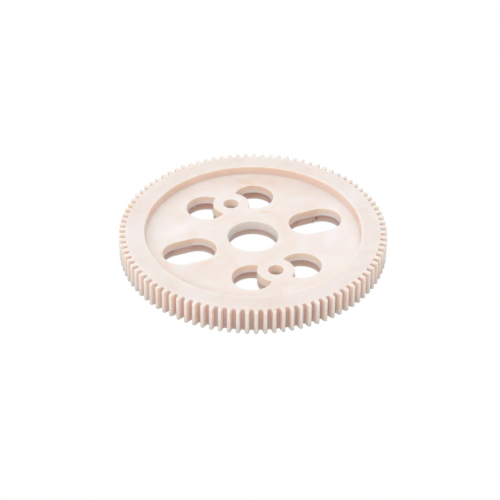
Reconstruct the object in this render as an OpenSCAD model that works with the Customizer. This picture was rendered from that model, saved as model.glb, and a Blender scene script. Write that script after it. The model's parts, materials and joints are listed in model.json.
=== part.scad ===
// Spur gear moulded in one piece, with a dished web, two screw bosses and six open windows.
// Origin: bore axis at the flat back face. +Z points to the recessed front face.
// The plain openings lie on X and the screw bosses lie on Y.

/* [Teeth] */
// Number of teeth
teeth = 95; // [90:1:120]
// Diametral pitch, teeth per inch of pitch diameter
diametral_pitch = 48; // [46:1:50]
// Pressure angle, degrees
pressure_angle = 14.5; // [13:0.5:20]
// Tooth height above the pitch circle, in modules
addendum = 1; // [0.8:0.05:1.1]
// Tooth depth below the pitch circle, in modules
dedendum = 1.25; // [1.1:0.05:1.35]
// Gap left between mating flanks at the pitch circle, mm
backlash = 0.04; // [0:0.01:0.1]
// Radius of the rounding along the tooth tips, mm
tip_round = 0.1; // [0.04:0.02:0.12]
// Radius of the fillet at the tooth roots, mm
root_round = 0.15; // [0.05:0.01:0.16]
// Bevel on both ends of the teeth, mm
end_bevel = 0.2; // [0.1:0.05:0.4]

/* [Body] */
// Width of the toothed rim along the axis
face_w = 5; // [4.5:0.25:8]
// Depth of the dish in the front face
dish_depth = 1.7; // [1:0.1:2.5]
// Thickness of the rim, from the mouth of the dish to the tooth roots
rim_t = 3.67; // [2.5:0.01:4.5]
// Draft on the wall of the dish: how much its radius shrinks towards the floor
dish_draft = 0.15; // [0:0.05:0.3]

/* [Bore] */
// Diameter of the centre bore
bore_d = 9.55; // [6:0.05:10]
// Width of the lead-in chamfer at the front end of the bore
bore_lead_in = 0.2; // [0.1:0.05:0.5]

/* [Screw bosses] */
// Distance between the two screw holes
screw_spacing = 22.8; // [21:0.1:24]
// Diameter of a screw hole
screw_d = 2.9; // [2:0.1:3.2]
// Diameter of a boss
boss_d = 7.2; // [6:0.1:7.6]

/* [Openings] */
// Length of a plain opening, along the radius
slot_length = 10.3; // [8:0.1:11]
// Width of a plain opening
slot_width = 7; // [5:0.1:7.4]
// Distance from the gear's axis to the middle of a plain opening
slot_centre = 13; // [12.5:0.1:13.5]
// Diameter of the round openings beside the bosses
lobe_d = 7.5; // [6.5:0.1:7.8]
// Distance from a boss to the middle of the opening on each side of it, along X
lobe_offset_x = 5; // [4.6:0.1:5.4]
// How much farther out than the screw hole those openings lie
lobe_offset_y = 0.5; // [0:0.1:0.8]

/* [Hidden] */
$fn = 96;

module_mm = 25.4 / diametral_pitch;
pitch_r = teeth * module_mm / 2;
tip_r = pitch_r + addendum * module_mm;
root_r = pitch_r - dedendum * module_mm;
base_r = pitch_r * cos(pressure_angle);
dish_mouth_r = root_r - rim_t;
web_t = face_w - dish_depth;
screw_r = screw_spacing / 2;
// A tooth is centred on +Y, on the line through the screw bosses.
first_tooth = 90;
// Steps along a flank and around each small rounding
flank_steps = 4;
round_steps = 2;
// How far a cutter runs past the faces that it cuts
past = 1;

// Involute function of the pressure angle at radius r, in degrees.
function involute(r) =
    let (a = acos(base_r / r))
    tan(a) * 180 / PI - a;

// Angle that a width w covers at radius r, in degrees.
function spread(w, r) = w / r * 180 / PI;

// Half of the tooth's angular thickness at radius r, in degrees.
function half_tooth(r) =
    90 / teeth - spread(backlash / 4, pitch_r) + involute(pitch_r) - involute(r);

// One side of a tooth from root to tip: pairs of radius and angle from the centre line.
fillet_top = root_r + root_round;
round_start = tip_r - tip_round;
half_profile = concat(
    [for (i = [0:round_steps])
        let (q = 90 * i / round_steps)
        [fillet_top - root_round * cos(q),
         half_tooth(fillet_top) + spread(root_round * (1 - sin(q)), root_r)]],
    [for (i = [1:flank_steps - 1])
        let (r = fillet_top + (round_start - fillet_top) * i / flank_steps)
        [r, half_tooth(r)]],
    [for (i = [0:round_steps])
        let (q = 90 * i / round_steps)
        [round_start + tip_round * sin(q),
         half_tooth(round_start) - spread(tip_round * (1 - cos(q)), tip_r)]]
);

// Both sides of the tooth whose centre line is at angle a, anticlockwise.
function tooth(a) = concat(
    [for (p = half_profile) p[0] * [cos(a - p[1]), sin(a - p[1])]],
    [for (i = [len(half_profile) - 1:-1:0])
        let (p = half_profile[i])
        p[0] * [cos(a + p[1]), sin(a + p[1])]]
);

module gear_outline() {
    polygon([for (i = [0:teeth - 1]) each tooth(first_tooth + i * 360 / teeth)]);
}

// Toothed disc with bevelled tooth ends.
module toothed_disc() {
    intersection() {
        linear_extrude(face_w) gear_outline();
        rotate_extrude() polygon([
            [0, 0],
            [tip_r - end_bevel, 0],
            [tip_r + past, end_bevel + past],
            [tip_r + past, face_w - end_bevel - past],
            [tip_r - end_bevel, face_w],
            [0, face_w]
        ]);
    }
}

// Dish in the front face, wider at its mouth.
module dish() {
    above_mouth = past * dish_draft / dish_depth;
    translate([0, 0, web_t])
        cylinder(h = dish_depth + past, r1 = dish_mouth_r - dish_draft, r2 = dish_mouth_r + above_mouth);
}

// Centre bore with its lead-in at the floor of the dish.
module bore() {
    translate([0, 0, -past]) cylinder(h = face_w + 2 * past, d = bore_d);
    translate([0, 0, web_t - bore_lead_in])
        cylinder(h = 2 * bore_lead_in, r1 = bore_d / 2, r2 = bore_d / 2 + 2 * bore_lead_in);
}

// Plain opening with round ends, its long axis on X.
module plain_opening() {
    end_x = (slot_length - slot_width) / 2;
    translate([slot_centre, 0, -past]) {
        for (side = [-1, 1])
            translate([side * end_x, 0, 0]) cylinder(h = web_t + 2 * past, d = slot_width);
        translate([-end_x, -slot_width / 2, 0]) cube([2 * end_x, slot_width, web_t + 2 * past]);
    }
}

// Round openings on both sides of a boss, which stands between them, and the screw hole in it.
module boss_openings() {
    difference() {
        for (side = [-1, 1])
            translate([side * lobe_offset_x, screw_r + lobe_offset_y, -past])
                cylinder(h = web_t + 2 * past, d = lobe_d);
        translate([0, screw_r, -2 * past]) cylinder(h = web_t + 4 * past, d = boss_d);
    }
    translate([0, screw_r, -past]) cylinder(h = web_t + 2 * past, d = screw_d);
}

module spur_gear() {
    color([0.90, 0.84, 0.78])
    difference() {
        toothed_disc();
        dish();
        bore();
        for (turn = [0, 180])
            rotate([0, 0, turn]) {
                plain_opening();
                boss_openings();
            }
    }
}

spur_gear();
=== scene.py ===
"""Looks of the moulded spur gear: a finely rounded mesh, natural nylon and a bright product table."""

import json
import math

import bmesh
import bpy
import numpy as np
from mathutils import Matrix, Vector
from mathutils.geometry import delaunay_2d_cdt


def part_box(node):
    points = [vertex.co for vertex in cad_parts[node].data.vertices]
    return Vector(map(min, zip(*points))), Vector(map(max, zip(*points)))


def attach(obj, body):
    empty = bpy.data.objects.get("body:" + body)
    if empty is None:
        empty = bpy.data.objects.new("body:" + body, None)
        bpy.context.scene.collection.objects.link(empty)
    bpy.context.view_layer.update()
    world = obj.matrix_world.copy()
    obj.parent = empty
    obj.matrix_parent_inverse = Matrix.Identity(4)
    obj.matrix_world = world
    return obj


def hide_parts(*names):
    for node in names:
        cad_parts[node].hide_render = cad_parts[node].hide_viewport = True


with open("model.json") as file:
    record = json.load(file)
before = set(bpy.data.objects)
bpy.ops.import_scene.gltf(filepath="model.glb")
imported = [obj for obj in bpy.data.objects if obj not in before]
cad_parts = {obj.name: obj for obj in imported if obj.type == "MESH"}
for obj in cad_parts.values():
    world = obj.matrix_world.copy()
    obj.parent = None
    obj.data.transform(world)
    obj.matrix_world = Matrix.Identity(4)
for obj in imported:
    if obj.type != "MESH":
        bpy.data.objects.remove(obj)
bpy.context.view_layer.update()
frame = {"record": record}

# ---------------------------------------------------------------- sizes
MM = 0.001
NODE = "spur_gear"
MOUNTS = {m["name"]: m for m in frame["record"]["mounts"]}
BORE = MOUNTS["bore"]["dims"]
SCREWS = MOUNTS["screw_holes"]["dims"]
LOW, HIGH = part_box(NODE)

# Teeth. One tooth is centred on +Y, so the box gives the tip radius.
TEETH = 95
PRESSURE_ANGLE = math.radians(14.5)
DEDENDUM = 1.25
TIP_R = HIGH.y
MODULE = TIP_R / (TEETH / 2 + 1)
PITCH_R = TIP_R - MODULE
ROOT_R = PITCH_R - DEDENDUM * MODULE
BASE_R = PITCH_R * math.cos(PRESSURE_ANGLE)
PITCH_ANGLE = math.tau / TEETH
FIRST_TOOTH = math.pi / 2
FLANK_GAP = 0.01 * MM
TIP_ROUND = 0.11 * MM
ROOT_ROUND = 0.17 * MM
TIP_BEVEL = 0.24 * MM
FLANK_BEVEL = 0.19 * MM
ROUND_STEPS = 4
FLANK_STEPS = 6
NORMAL_WEIGHT = 80

# Body
FACE_Z = HIGH.z
WEB_Z = MOUNTS["dish_floor"]["pos_m"][2]
PARTING_Z = 0.50 * WEB_Z
BORE_PARTING_Z = 0.42 * WEB_Z
DISH_R = 20.65 * MM
DISH_MOUTH_R = 20.80 * MM
DISH_FILLET = 0.25 * MM
RIM_EDGE = 0.15 * MM

# Openings
BORE_R = BORE["r_mm"] * MM
SCREW_R = SCREWS["hole_r_mm"] * MM
SCREW_Y = SCREWS["spacing_y_mm"] / 2 * MM
BOSS_R = 3.6 * MM
SLOT_X = 13.0 * MM
SLOT_HALF_STRAIGHT = 1.65 * MM
SLOT_R = 3.5 * MM
LOBE_X = 5.0 * MM
LOBE_Y = SCREW_Y + 0.5 * MM
LOBE_R = 3.75 * MM
LOBE_CORNER_R = 0.25 * MM
STEP = 0.3 * MM
LEAST_STEPS = 4
DISH_STEP = 1.5 * STEP
SAME_POINT = 0.001 * MM

# Walls: top edge, draft of the upper half, step back to the lower half, height of the parting line.
# The rounding of the bottom edge is given as a part of the top one.
OPENING_WALL = (0.12 * MM, 0.08 * MM, 0.12 * MM, PARTING_Z)
BORE_WALL = (0.24 * MM, 0.05 * MM, 0.08 * MM, BORE_PARTING_Z)
SCREW_WALL = (0.10 * MM, 0.02 * MM, 0.02 * MM, PARTING_Z)
LIP = 0.08 * MM
LOW_EDGE = 0.6
LOW_EDGE_STEPS = 3

# Flash left at the parting line of one opening: (heading in degrees, length down the wall)
WHISKERS = [(109, 0.75), (114, 0.45), (96, 0.45), (127, 0.40)]
WHISKER_R = 0.17 * MM
WHISKER_REACH = 0.25 * MM
# Nub at the bottom edge of the plain opening on +X
NUB_X = 14.2 * MM
NUB_R = 0.22 * MM
NUB_BASE = Vector((NUB_X, SLOT_R + NUB_R, 2 * NUB_R))
NUB_POINT = NUB_BASE - Vector((0, 3 * NUB_R, 1.5 * NUB_R))
THORN_SIDES = 6

# ---------------------------------------------------------------- colours
# Inputs of the shader that are the same all over
NYLON = {
    "IOR": 1.53,
    "Subsurface Weight": 1.0,
    "Subsurface Radius": (1.6, 1.1, 0.8),
    "Subsurface Scale": 1.0 * MM,
}
# Noises: scale, detail, distortion
CLOUDS = (95, 3, 0.6)
SWIRLS = (240, 5, 1.2)
WAVES = (350, 2, 0.0)
GRAIN = (5200, 2, 0.0)
RINGS = (2.2, 3, 0.0)
WAVE_HEIGHT = 0.012 * MM
RING_HEIGHT = 0.008 * MM
GRAIN_HEIGHT = 0.004 * MM

# Ramps: (position, colour or grey level)
CLOUD_COLOURS = [
    (0.32, (0.845, 0.734, 0.648)),
    (0.50, (0.866, 0.765, 0.692)),
    (0.68, (0.885, 0.804, 0.750)),
]
STREAKS = [(0.45, (1.0, 1.0, 1.0)), (0.72, (0.97, 0.92, 0.87))]
STREAK_STRENGTH = 0.5
RAGGED = [(0.38, 0.25), (0.58, 1.0)]
SATIN = [(0.3, 0.38), (0.7, 0.50)]
PATCH_FADE = [(0.0, 1.0), (0.45, 0.6), (1.0, 0.0)]
UPRIGHT = [(0.25, 1.0), (0.75, 0.0)]
# Painted warm light by height, as a part of FACE_Z, and by radius, as a part of TIP_R
WARM_HEIGHTS = [(0.0, 0.5), (0.32, 0.3), (0.45, 1.0)]
WARM_RADII = [
    (1.10 * BORE_R / TIP_R, 0.0),
    (1.15 * BORE_R / TIP_R, 1.0),
    (DISH_MOUTH_R / TIP_R, 1.0),
    (DISH_MOUTH_R / TIP_R + 0.02, 0.35),
]

TAN_COLOUR = (0.94, 0.80, 0.67, 1)
PALE_COLOUR = (0.93, 0.87, 0.85, 1)
NEAR_BORE = 1.2 * BORE_R
# Painted shade on the lower half of the opening walls, less at the front and in the bore
WALL_SHADE = (0.90, 0.64, 0.59, 1)
WALL_SHADE_FADE = 0.6
FRONT_SHADE = 0.66
BORE_SHADE_LESS = 0.3
# Painted warm light in the recesses
PAINTED_WARM_LIGHT = (1.0, 0.92, 0.84, 1)
# Painted highlight along the parting line and on the upper bore wall
LIP_GLOW = 0.7 * MM
LIP_HIGHLIGHT = 0.6
BORE_HIGHLIGHT = 0.4
RIM_SHADE = (0.955, 0.955, 0.955, 1)
TIP_SHADE = (0.990, 0.950, 0.955, 1)
# Painted shade in the gaps between the teeth
GAP_SHADE = (0.91, 0.87, 0.86, 1)
STAIN_COLOUR = (0.35, 0.22, 0.17, 1)

# Marks, in millimetres: (centre, turn in degrees, half lengths, strength)
WEB_MM = WEB_Z / MM
TAN_PATCHES = [
    ((4.9, 6.3, WEB_MM), -20, (2.6, 0.7, 1.0), 1.0),
    ((7.2, 7.2, WEB_MM), 35, (1.4, 0.5, 1.0), 0.9),
    ((11.0, 8.5, WEB_MM), 10, (5.0, 1.8, 1.0), 0.5),
    ((-17.6, 1.6, WEB_MM), 30, (2.5, 0.8, 1.0), 0.8),
    ((-10.0, -4.5, WEB_MM), 15, (3.5, 1.0, 1.0), 0.6),
    ((-3.5, -8.5, WEB_MM), 10, (5.0, 2.5, 1.0), 0.4),
    ((6.0, 16.5, WEB_MM), -20, (7.0, 2.5, 1.0), 0.6),
]
PALE_PATCHES = [
    ((13.5, -6.5, WEB_MM), 50, (4.5, 2.0, 1.0), 0.7),
    ((18.3, 3.5, WEB_MM), 80, (4.0, 1.3, 1.0), 0.6),
    ((-12.0, 7.5, WEB_MM), 20, (5.0, 2.6, 1.0), 0.7),
    ((-13.5, -9.5, WEB_MM), -45, (4.0, 1.5, 1.0), 0.4),
    ((9.0, -12.5, WEB_MM), 35, (3.5, 1.4, 1.0), 0.4),
]
STAINS = [((14.9, 3.6, 0.9), 0, (0.5, 0.5, 0.5), 0.9)]

# ---------------------------------------------------------------- studio
FLOOR_SIZE = 3
FLOOR_GAP = 0.02 * MM
# Glow of the floor to the gear, with painted shade in it under the gear
FLOOR_GLOW = 1.0
FLOOR_SHADE = 0.45
FLOOR_FADE = 4 * MM
SKY = 0.68
SKY_COLOUR = (0.97, 1.0, 1.04, 1)
LIGHT_COLOUR = (0.96, 1.0, 1.06)
LIGHT_DISTANCE = 0.9
# Lights: name, azimuth, elevation, size, power. Azimuth 0 is in front, as for the camera.
LIGHTS = [
    ("left", -80, 35, 0.3, 1.1),
    ("front", -40, 30, 0.3, 0.5),
    ("back", 158, 15, 0.6, 1.4),
    ("top", -22, 88, 0.6, 2.3),
]
CAMERA_AZIMUTH = -22.35
CAMERA_ELEVATION = 37.23
CAMERA_ROLL = math.radians(0.37)
CAMERA_DISTANCE = 14.556 * TIP_R
CAMERA_SHIFT = Vector((0.02277, 0.1588)) * TIP_R
SENSOR_WIDTH = 36
FOCAL_WIDTHS = 3.9028
CAMERA_SIGHT = 10


# ---------------------------------------------------------------- outlines
def involute(radius):
    """Involute function of the pressure angle at this radius."""
    angle = math.acos(BASE_R / radius)
    return math.tan(angle) - angle


def half_tooth(radius):
    """Half of a tooth's angular thickness at this radius."""
    return PITCH_ANGLE / 4 - FLANK_GAP / PITCH_R + involute(PITCH_R) - involute(radius)


def tooth_side(tip_cut, flank_cut):
    """One side of a tooth, root to tip, as (radius, angle from the centre line)."""
    fillet_top = ROOT_R + ROOT_ROUND
    round_start = TIP_R - tip_cut - TIP_ROUND
    quarter = [math.pi / 2 * i / ROUND_STEPS for i in range(ROUND_STEPS + 1)]
    side = []
    for q in quarter:
        out = ROOT_ROUND * (1 - math.sin(q))
        deep = ROOT_ROUND * math.cos(q) + flank_cut
        side.append((fillet_top - deep, half_tooth(fillet_top) + out / ROOT_R))
    for i in range(1, FLANK_STEPS):
        radius = fillet_top + (round_start - fillet_top) * i / FLANK_STEPS
        side.append((radius, half_tooth(radius)))
    for q in quarter:
        back = TIP_ROUND * (1 - math.cos(q))
        side.append((round_start + TIP_ROUND * math.sin(q), half_tooth(round_start) - back / TIP_R))
    return [(radius, angle - flank_cut / radius) for radius, angle in side]


def gear_loop(tip_cut, flank_cut):
    """The whole toothed outline, anticlockwise, for one level of the rim."""
    side = tooth_side(tip_cut, flank_cut)
    points = []
    for i in range(TEETH):
        centre = FIRST_TOOTH + i * PITCH_ANGLE
        for radius, angle in side:
            points.append((radius * math.cos(centre - angle), radius * math.sin(centre - angle)))
        for radius, angle in reversed(side):
            points.append((radius * math.cos(centre + angle), radius * math.sin(centre + angle)))
    return points


def arc_loop(arcs, grow):
    """Outline made of arcs (x, y, radius, start, end, side); grow moves it into the material.

    side is 1 where the material lies outside the arc and -1 where it lies inside."""
    points = []
    for x, y, radius, start, end, side in arcs:
        steps = max(LEAST_STEPS, round(abs(end - start) * radius / STEP))
        for i in range(steps + 1):
            a = start + (end - start) * i / steps
            r = radius + side * grow
            point = Vector((x + r * math.cos(a), y + r * math.sin(a)))
            # Arcs that meet share a point, and it is kept once.
            if not points or (point - points[-1]).length > SAME_POINT:
                points.append(point)
    if (points[-1] - points[0]).length < SAME_POINT:
        points.pop()
    return points


def circle(x, y, radius):
    """Round hole, as one arc."""
    return [(x, y, radius, 0, math.tau, 1)]


def obround(x):
    """Plain opening: half circles joined by straight sides along X."""
    quarter = math.pi / 2
    return [
        (x + SLOT_HALF_STRAIGHT, 0, SLOT_R, -quarter, quarter, 1),
        (x - SLOT_HALF_STRAIGHT, 0, SLOT_R, quarter, 3 * quarter, 1),
    ]


def heading(a, b):
    """Angle of the direction from a to b."""
    return math.atan2(b.y - a.y, b.x - a.x)


def lobe(side_x, side_y):
    """Round opening that a boss cuts into, with small rounded corners beside the boss."""
    centre = Vector((LOBE_X, LOBE_Y))
    boss = Vector((0, SCREW_Y))
    reach = centre - boss
    # A corner's centre lies inside the opening's circle and outside the boss.
    to_corner = BOSS_R + LOBE_CORNER_R
    inside = LOBE_R - LOBE_CORNER_R
    along = (reach.length_squared + to_corner**2 - inside**2) / (2 * reach.length)
    across = math.sqrt(to_corner**2 - along**2)
    unit = reach.normalized()
    normal = Vector((-unit.y, unit.x))
    high = boss + unit * along + normal * across
    low = boss + unit * along - normal * across

    arcs = [
        (centre.x, centre.y, LOBE_R, heading(centre, low), heading(centre, high), 1),
        (high.x, high.y, LOBE_CORNER_R, heading(centre, high), heading(high, boss), 1),
        (boss.x, boss.y, BOSS_R, heading(boss, high), heading(boss, low), -1),
        (low.x, low.y, LOBE_CORNER_R, heading(low, boss), heading(centre, low), 1),
    ]
    placed = []
    for x, y, radius, start, end, side in arcs:
        if side > 0 and end < start:
            end += math.tau
        if side_x < 0:
            start, end = math.pi - start, math.pi - end
        if side_y < 0:
            start, end = -start, -end
        placed.append((side_x * x, side_y * y, radius, start, end, side))
    return placed


def rounded(edge, steps=ROUND_STEPS):
    """Quarter round from the face to the wall: pairs of (set back, depth)."""
    angles = [math.pi / 2 * i / steps for i in range(steps + 1)]
    return [(edge * (1 - math.sin(a)), edge * (1 - math.cos(a))) for a in angles]


def opening_profile(edge, upper_draft, step_back, parting_z):
    """(grow, z) down the wall of an opening.

    The upper half narrows to a thin lip at the parting line, and the lower half is set back."""
    rows = [(upper_draft + back, WEB_Z - deep) for back, deep in rounded(edge)]
    rows += [(0, parting_z + LIP), (-LIP, parting_z), (step_back, parting_z - LIP)]
    for back, deep in reversed(rounded(LOW_EDGE * edge, LOW_EDGE_STEPS)):
        rows.append((step_back + back, deep))
    return rows


# ---------------------------------------------------------------- mesh
class Shell:
    """Collects loops of points, the walls between them and the flat faces that they bound."""

    def __init__(self):
        self.points = []
        self.faces = []

    def loop(self, outline, z):
        """Adds an outline at one height; returns the numbers of its points."""
        first = len(self.points)
        self.points += [(x, y, z) for x, y in outline]
        return list(range(first, len(self.points)))

    def wall(self, loops):
        """Joins each loop to the next with four-sided faces."""
        for a, b in zip(loops, loops[1:]):
            for i in range(len(a)):
                j = (i + 1) % len(a)
                self.faces.append((a[i], a[j], b[j], b[i]))

    def flat(self, loops):
        """Fills the area between an outer loop and the holes in it with triangles."""
        index = [i for ring in loops for i in ring]
        flat = np.array([self.points[i][:2] for i in index])
        edges, start = [], 0
        for ring in loops:
            n = len(ring)
            edges += [(start + i, start + (i + 1) % n) for i in range(n)]
            start += n
        # The triangulation works in millimetres, with a tolerance to suit.
        made = delaunay_2d_cdt([Vector(p) / MM for p in flat], edges, [], 0, 1e-6)
        triangles = np.array(made[2])
        origin = [o[0] for o in made[3]]
        middle = np.array([flat[[origin[k] for k in t]].mean(0) for t in triangles])
        # A triangle is kept if a ray from its middle crosses the loops an odd number of times.
        inside = np.zeros(len(triangles), bool)
        for a, b in edges:
            (ax, ay), (bx, by) = flat[a], flat[b]
            if ay == by:
                continue
            crosses = (middle[:, 1] > ay) != (middle[:, 1] > by)
            at_x = ax + (middle[:, 1] - ay) * (bx - ax) / (by - ay)
            inside ^= crosses & (middle[:, 0] < at_x)
        for t in triangles[inside]:
            self.faces.append(tuple(index[origin[k]] for k in t))

    def thorn(self, base, point, radius):
        """Small closed cone from inside the wall to its point."""
        way = (point - base).normalized()
        side = way.orthogonal().normalized()
        other = way.cross(side)
        first = len(self.points)
        for i in range(THORN_SIDES):
            a = math.tau * i / THORN_SIDES
            self.points.append(tuple(base + radius * (side * math.cos(a) + other * math.sin(a))))
        self.points.append(tuple(point))
        ring = list(range(first, first + THORN_SIDES))
        self.faces.append(tuple(reversed(ring)))
        for i in range(THORN_SIDES):
            self.faces.append((ring[i], ring[(i + 1) % THORN_SIDES], first + THORN_SIDES))

    def mesh(self, name):
        """Blender mesh of the shell, its faces turned outwards and shaded smooth."""
        mesh = bpy.data.meshes.new(name)
        mesh.from_pydata(self.points, [], self.faces)
        made = bmesh.new()
        made.from_mesh(mesh)
        bmesh.ops.recalc_face_normals(made, faces=made.faces)
        made.to_mesh(mesh)
        made.free()
        mesh.shade_smooth()
        return mesh


def add_teeth(shell):
    """Toothed wall with rounded ends, from the back face to the front; returns its loops."""
    ends = rounded(1.0)
    levels = [(deep * TIP_BEVEL, back) for back, deep in ends]
    levels += [(FACE_Z - deep * TIP_BEVEL, back) for back, deep in reversed(ends)]
    teeth = [shell.loop(gear_loop(back * TIP_BEVEL, back * FLANK_BEVEL), z) for z, back in levels]
    shell.wall(teeth)
    return teeth


def add_dish(shell):
    """Dish wall: rounded at the rim, drafted, and filleted into the web; returns its loops."""
    profile = [(DISH_MOUTH_R + back, FACE_Z - deep) for back, deep in rounded(RIM_EDGE)]
    for back, deep in reversed(rounded(DISH_FILLET)):
        profile.append((DISH_R - back, WEB_Z + deep))
    steps = round(math.tau * DISH_R / DISH_STEP)
    ring = [math.tau * i / steps for i in range(steps)]
    dish = [shell.loop([(r * math.cos(a), r * math.sin(a)) for a in ring], z) for r, z in profile]
    shell.wall(dish)
    return dish


def add_openings(shell):
    """Walls of the nine holes; returns their top and bottom loops."""
    openings = [(circle(0, 0, BORE_R), BORE_WALL)]
    for y_sign in (1, -1):
        openings.append((obround(y_sign * SLOT_X), OPENING_WALL))
        openings.append((circle(0, y_sign * SCREW_Y, SCREW_R), SCREW_WALL))
        for x_sign in (1, -1):
            openings.append((lobe(x_sign, y_sign), OPENING_WALL))
    tops, bottoms = [], []
    for arcs, wall in openings:
        rings = [shell.loop(arc_loop(arcs, grow), z) for grow, z in opening_profile(*wall)]
        shell.wall(rings)
        tops.append(rings[0])
        bottoms.append(rings[-1])
    return tops, bottoms


def add_flash(shell):
    """Whiskers at the parting line of one opening, and a nub at the bottom edge of another."""
    centre = Vector((-LOBE_X, LOBE_Y, PARTING_Z))
    for turn, length in WHISKERS:
        a = math.radians(turn)
        out = Vector((math.cos(a), math.sin(a), 0))
        base = centre + out * LOBE_R
        point = base - out * WHISKER_REACH + Vector((0, 0, -length * MM))
        shell.thorn(base, point, WHISKER_R)
    shell.thorn(NUB_BASE, NUB_POINT, NUB_R)


def build_gear():
    """The whole moulding as one mesh, with the smooth normals of a machined mould."""
    shell = Shell()
    teeth = add_teeth(shell)
    dish = add_dish(shell)
    tops, bottoms = add_openings(shell)
    shell.flat([teeth[-1], dish[0]])
    shell.flat([dish[-1], *tops])
    shell.flat([teeth[0], *bottoms])
    add_flash(shell)

    gear = bpy.data.objects.new("spur_gear_moulding", shell.mesh("spur_gear_moulding"))
    bpy.context.collection.objects.link(gear)
    normals = gear.modifiers.new("Weighted normals", "WEIGHTED_NORMAL")
    normals.weight = NORMAL_WEIGHT
    return gear


# ---------------------------------------------------------------- materials
class Graph:
    """Builds a material's nodes. Values are sockets or numbers."""

    def __init__(self, name):
        self.material = bpy.data.materials.new(name)
        self.material.use_nodes = True
        self.nodes = self.material.node_tree.nodes
        self.where = self.new("TexCoord").outputs["Object"]
        split = self.new("SeparateXYZ")
        self.set(split.inputs["Vector"], self.where)
        self.x, self.y, self.z = split.outputs
        # Distance from the origin, and from the axis.
        self.reach = self.length(self.where)
        self.radius = self.length(self.vector(self.x, self.y))

    def new(self, kind):
        return self.nodes.new("ShaderNode" + kind)

    def set(self, socket, value):
        """Gives a socket its value, which another socket may bring."""
        if isinstance(value, bpy.types.NodeSocket):
            self.material.node_tree.links.new(value, socket)
        else:
            socket.default_value = value

    def vector(self, x, y, z=0.0):
        node = self.new("CombineXYZ")
        for socket, value in zip(node.inputs, (x, y, z)):
            self.set(socket, value)
        return node.outputs["Vector"]

    def length(self, vector):
        node = self.new("VectorMath")
        node.operation = "LENGTH"
        self.set(node.inputs[0], vector)
        return node.outputs["Value"]

    def math(self, operation, *values):
        node = self.new("Math")
        node.operation = operation
        for socket, value in zip(node.inputs, values):
            self.set(socket, value)
        return node.outputs["Value"]

    def product(self, first, *factors):
        for factor in factors:
            first = self.math("MULTIPLY", first, factor)
        return first

    def above(self, value, limit):
        return self.math("GREATER_THAN", value, limit)

    def below(self, value, limit):
        return self.math("LESS_THAN", value, limit)

    def fade(self, value, start, end, first=0.0, last=1.0, interpolation="LINEAR"):
        """From first to last while the value goes from start to end."""
        node = self.new("MapRange")
        node.interpolation_type = interpolation
        self.set(node.inputs["Value"], value)
        node.inputs["From Min"].default_value = start
        node.inputs["From Max"].default_value = end
        node.inputs["To Min"].default_value = first
        node.inputs["To Max"].default_value = last
        return node.outputs["Result"]

    def noise(self, settings, vector=None):
        scale, detail, distortion = settings
        node = self.new("TexNoise")
        node.inputs["Scale"].default_value = scale
        node.inputs["Detail"].default_value = detail
        node.inputs["Distortion"].default_value = distortion
        self.set(node.inputs["Vector"], vector or self.where)
        return node.outputs["Fac"]

    def ramp(self, factor, stops):
        """Colour ramp through (position, colour) stops; a colour may be one grey level."""
        node = self.new("ValToRGB")
        elements = node.color_ramp.elements
        while len(elements) < len(stops):
            elements.new(0.5)
        for element, (position, colour) in zip(elements, stops):
            element.position = position
            element.color = (*colour, 1) if isinstance(colour, tuple) else (colour, colour, colour, 1)
        self.set(node.inputs["Fac"], factor)
        return node.outputs["Color"]

    def mix(self, blend, factor, a, b):
        """Mixes colours a and b. Sockets 6 and 7 are the node's colour inputs, 2 its colour output."""
        node = self.new("Mix")
        node.data_type = "RGBA"
        node.blend_type = blend
        self.set(node.inputs["Factor"], factor)
        self.set(node.inputs[6], a)
        self.set(node.inputs[7], b)
        return node.outputs[2]

    def bump(self, height, distance, normal=None):
        node = self.new("Bump")
        node.inputs["Distance"].default_value = distance
        node.inputs["Strength"].default_value = 1.0
        self.set(node.inputs["Height"], height)
        if normal is not None:
            self.set(node.inputs["Normal"], normal)
        return node.outputs["Normal"]

    def patch(self, centre, turn, size):
        """Fades from 1 at the centre to 0 at the surface of an ellipsoid."""
        place = self.new("Mapping")
        place.vector_type = "TEXTURE"
        place.inputs["Location"].default_value = Vector(centre) * MM
        place.inputs["Rotation"].default_value = (0, 0, math.radians(turn))
        place.inputs["Scale"].default_value = Vector(size) * MM
        self.set(place.inputs["Vector"], self.where)
        return self.ramp(self.length(place.outputs["Vector"]), PATCH_FADE)

    def patches(self, marks):
        """The strongest of several marks (centre, turn, size, strength) at each point."""
        total = 0.0
        for centre, turn, size, strength in marks:
            one = self.product(self.patch(centre, turn, size), strength)
            total = self.math("MAXIMUM", total, one)
        return total


def tool_marks(g):
    """Noise drawn out along circles round the bore: faint tool marks and scuffs."""
    around = g.math("ARCTAN2", g.x, g.y)
    turned = g.vector(g.product(g.radius, 1 / MM), around, g.z)
    return g.noise(RINGS, turned)


def upright_faces(g):
    """1 on upright faces and 0 on level ones."""
    normal = g.new("SeparateXYZ")
    g.set(normal.inputs["Vector"], g.new("NewGeometry").outputs["True Normal"])
    return g.ramp(g.math("ABSOLUTE", normal.outputs["Z"]), UPRIGHT)


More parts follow.
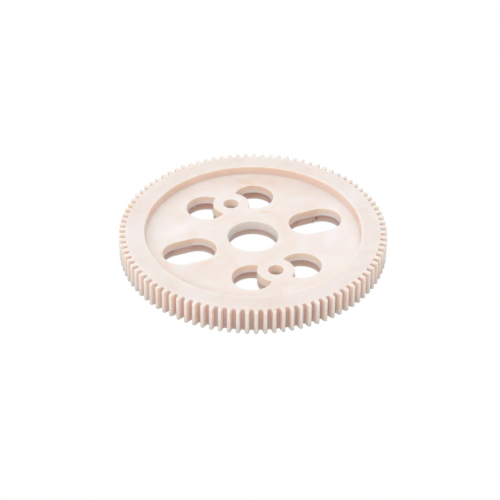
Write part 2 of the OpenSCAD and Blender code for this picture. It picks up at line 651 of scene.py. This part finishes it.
def painted_wall_shade_and_highlight(g, in_bore):
    """Two factors for the walls of the openings, both 0 on the bosses and the rim.

    The first is painted shade: 1 just under the parting line, fading to 0 at the back face; the bore
    and the front openings have less of it. The second is a painted highlight: 1 at the parting line,
    fading to 0 above it."""
    # Heights in the bore are raised, so that its own parting line counts as the others do.
    height = g.math("ADD", g.z, g.product(in_bore, PARTING_Z - BORE_PARTING_Z))
    under_line = g.below(height, PARTING_Z - 0.5 * LIP)
    from_boss = g.math("SUBTRACT", g.math("ABSOLUTE", g.y), SCREW_Y)
    off_boss = g.above(g.length(g.vector(g.x, from_boss)), BOSS_R + 2 * LIP)
    on_wall = g.product(g.below(g.reach, DISH_R), off_boss)

    # Painted shade, darkest just under the parting line
    rise = g.math("MAXIMUM", g.product(height, 1 / PARTING_Z), 0.0)
    rise = g.math("POWER", rise, WALL_SHADE_FADE)
    amount = g.fade(g.y, -SCREW_Y, SCREW_Y, FRONT_SHADE)
    amount = g.math("SUBTRACT", amount, g.product(in_bore, BORE_SHADE_LESS))
    shade = g.product(rise, under_line, amount, on_wall)

    # Painted highlight, fading upwards from the parting line
    lip = g.fade(height, PARTING_Z + 0.5 * LIP, PARTING_Z + LIP_GLOW, 1.0, 0.0)
    lip = g.product(g.math("SUBTRACT", 1.0, under_line), lip, on_wall)
    return shade, lip


def painted_warm_light(g, upright):
    """Painted warm light: 1 on upright faces near their top edge; 0 on level ones, on the tooth tips
    and in the bore.
    """
    inside = g.below(g.radius, TIP_R - 1.5 * TIP_ROUND)
    by_height = g.ramp(g.product(g.z, 1 / FACE_Z), WARM_HEIGHTS)
    by_radius = g.ramp(g.product(g.radius, 1 / TIP_R), WARM_RADII)
    return g.product(upright, inside, by_height, by_radius)


def gap_depth(g):
    """Where painted shade falls in the gaps: 0 at the tooth tips and on the end faces, and 1 at the
    bottom of the gaps between teeth.
    """
    depth = g.fade(g.radius, TIP_R - TIP_ROUND, ROOT_R)
    under_face = g.below(g.z, FACE_Z - 0.5 * TIP_BEVEL)
    over_back = g.above(g.z, 0.2 * TIP_BEVEL)
    on_teeth = g.above(g.radius, DISH_R + MM)
    return g.product(depth, under_face, over_back, on_teeth)


def nylon_colour(g, swirls):
    """Base colour: the nylon itself, the marks on it, and painted shade, warm light and highlights in
    its recesses and on its teeth.
    """
    # Clouds and swirls left by the melt as it flowed round the openings.
    colour = g.ramp(g.noise(CLOUDS), CLOUD_COLOURS)
    colour = g.mix("MULTIPLY", STREAK_STRENGTH, colour, g.ramp(swirls, STREAKS))
    # Tan patches and paler patches.
    ragged = g.ramp(swirls, RAGGED)
    colour = g.mix("MULTIPLY", g.product(g.patches(TAN_PATCHES), ragged), colour, TAN_COLOUR)
    colour = g.mix("MIX", g.product(g.patches(PALE_PATCHES), ragged), colour, PALE_COLOUR)

    # Painted shade on the lower half of each opening's wall, darkest just under the parting line.
    in_bore = g.below(g.reach, NEAR_BORE)
    shade, lip = painted_wall_shade_and_highlight(g, in_bore)
    colour = g.mix("MULTIPLY", shade, colour, WALL_SHADE)
    # Painted warm light: the recesses are made warmer than the faces, standing in for light that has
    # travelled through the nylon.
    upright = upright_faces(g)
    colour = g.mix("MULTIPLY", painted_warm_light(g, upright), colour, PAINTED_WARM_LIGHT)
    # Painted highlight: the walls are palest along the parting line, and the bore is pale from there
    # up.
    bore_highlight = g.product(in_bore, g.above(g.z, BORE_PARTING_Z), BORE_HIGHLIGHT)
    wall_highlight = g.math("MAXIMUM", g.product(lip, LIP_HIGHLIGHT), bore_highlight)
    colour = g.mix("MIX", g.product(wall_highlight, upright), colour, PALE_COLOUR)

    # The rim and the teeth are a little darker than the web, and painted shade darkens the gaps
    # between the teeth towards their bottom.
    rim = g.above(g.reach, DISH_MOUTH_R + RIM_EDGE)
    tips = g.product(rim, upright)
    colour = g.mix("MULTIPLY", g.math("SUBTRACT", rim, tips), colour, RIM_SHADE)
    colour = g.mix("MULTIPLY", tips, colour, TIP_SHADE)
    # Painted shade, deepest at the bottom of the gaps
    colour = g.mix("MULTIPLY", gap_depth(g), colour, GAP_SHADE)
    return g.mix("MULTIPLY", g.patches(STAINS), colour, STAIN_COLOUR)


def natural_nylon():
    g = Graph("natural_nylon")
    shader = g.nodes["Principled BSDF"].inputs
    for name, value in NYLON.items():
        shader[name].default_value = value
    swirls = g.noise(SWIRLS)
    g.set(shader["Base Color"], nylon_colour(g, swirls))
    g.set(shader["Roughness"], g.ramp(swirls, SATIN))
    normal = g.bump(g.noise(WAVES), WAVE_HEIGHT)
    normal = g.bump(tool_marks(g), RING_HEIGHT, normal)
    normal = g.bump(g.noise(GRAIN), GRAIN_HEIGHT, normal)
    g.set(shader["Normal"], normal)
    return g.material


def white_floor():
    """White to a camera above it and clear to one below, so that the underside can be seen.

    To the gear it glows softly, with painted shade under the gear that fades out just beyond the
    teeth."""
    g = Graph("white_table")
    g.material.cycles.emission_sampling = "NONE"
    g.nodes.remove(g.nodes["Principled BSDF"])
    # Painted shade under the gear: the glow is FLOOR_SHADE inside the tip circle, rising to FLOOR_GLOW
    # beyond it
    glow = g.fade(g.reach, TIP_R, TIP_R + FLOOR_FADE, FLOOR_SHADE, FLOOR_GLOW, "SMOOTHSTEP")
    to_camera = g.new("LightPath").outputs["Is Camera Ray"]
    bright = g.new("Emission")
    g.set(bright.inputs["Strength"], g.math("MAXIMUM", glow, to_camera))
    sides = g.new("MixShader")
    g.set(sides.inputs["Fac"], g.new("NewGeometry").outputs["Backfacing"])
    g.set(sides.inputs[1], bright.outputs["Emission"])
    g.set(sides.inputs[2], g.new("BsdfTransparent").outputs["BSDF"])
    g.set(g.nodes["Material Output"].inputs["Surface"], sides.outputs["Shader"])
    return g.material


# ---------------------------------------------------------------- stage
def direction(azimuth, elevation):
    """Unit vector towards a place round the gear; azimuth 0 is in front of it."""
    a, e = math.radians(azimuth), math.radians(elevation)
    return Vector((math.sin(a) * math.cos(e), -math.cos(a) * math.cos(e), math.sin(e)))


def add_floor():
    bpy.ops.mesh.primitive_plane_add(size=FLOOR_SIZE)
    floor = bpy.context.object
    floor.name = "floor"
    floor.location.z = LOW.z - FLOOR_GAP
    floor.data.materials.append(white_floor())


def add_light(name, azimuth, elevation, size, power):
    """Square soft light that looks at the gear."""
    data = bpy.data.lights.new(name, "AREA")
    data.shape = "SQUARE"
    data.size = size
    data.energy = power
    data.color = LIGHT_COLOUR
    light = bpy.data.objects.new(name, data)
    way = direction(azimuth, elevation)
    light.location = way * LIGHT_DISTANCE
    light.rotation_euler = way.to_track_quat("Z", "Y").to_euler()
    bpy.context.collection.objects.link(light)


def add_camera():
    way = direction(CAMERA_AZIMUTH, CAMERA_ELEVATION)
    turn = math.radians(CAMERA_AZIMUTH)
    level = Vector((math.cos(turn), math.sin(turn), 0))
    tilt = way.cross(level)
    right = level * math.cos(CAMERA_ROLL) + tilt * math.sin(CAMERA_ROLL)
    up = tilt * math.cos(CAMERA_ROLL) - level * math.sin(CAMERA_ROLL)
    data = bpy.data.cameras.new("camera")
    data.sensor_width = SENSOR_WIDTH
    data.lens = FOCAL_WIDTHS * SENSOR_WIDTH
    data.clip_end = CAMERA_SIGHT
    camera = bpy.data.objects.new("camera", data)
    aim = Vector((0, 0, FACE_Z)) - right * CAMERA_SHIFT.x - up * CAMERA_SHIFT.y
    turned = Matrix((right, up, way)).transposed().to_4x4()
    camera.matrix_world = Matrix.Translation(aim + way * CAMERA_DISTANCE) @ turned
    bpy.context.collection.objects.link(camera)
    bpy.context.scene.camera = camera


def add_world():
    world = bpy.data.worlds.new("studio")
    bpy.context.scene.world = world
    world.use_nodes = True
    background = world.node_tree.nodes["Background"].inputs
    background["Color"].default_value = SKY_COLOUR
    background["Strength"].default_value = SKY


gear = build_gear()
gear.data.materials.append(natural_nylon())
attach(gear, "root")
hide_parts(NODE)

add_floor()
add_world()
for light in LIGHTS:
    add_light(*light)
add_camera()
bpy.context.scene.view_settings.view_transform = "Standard"
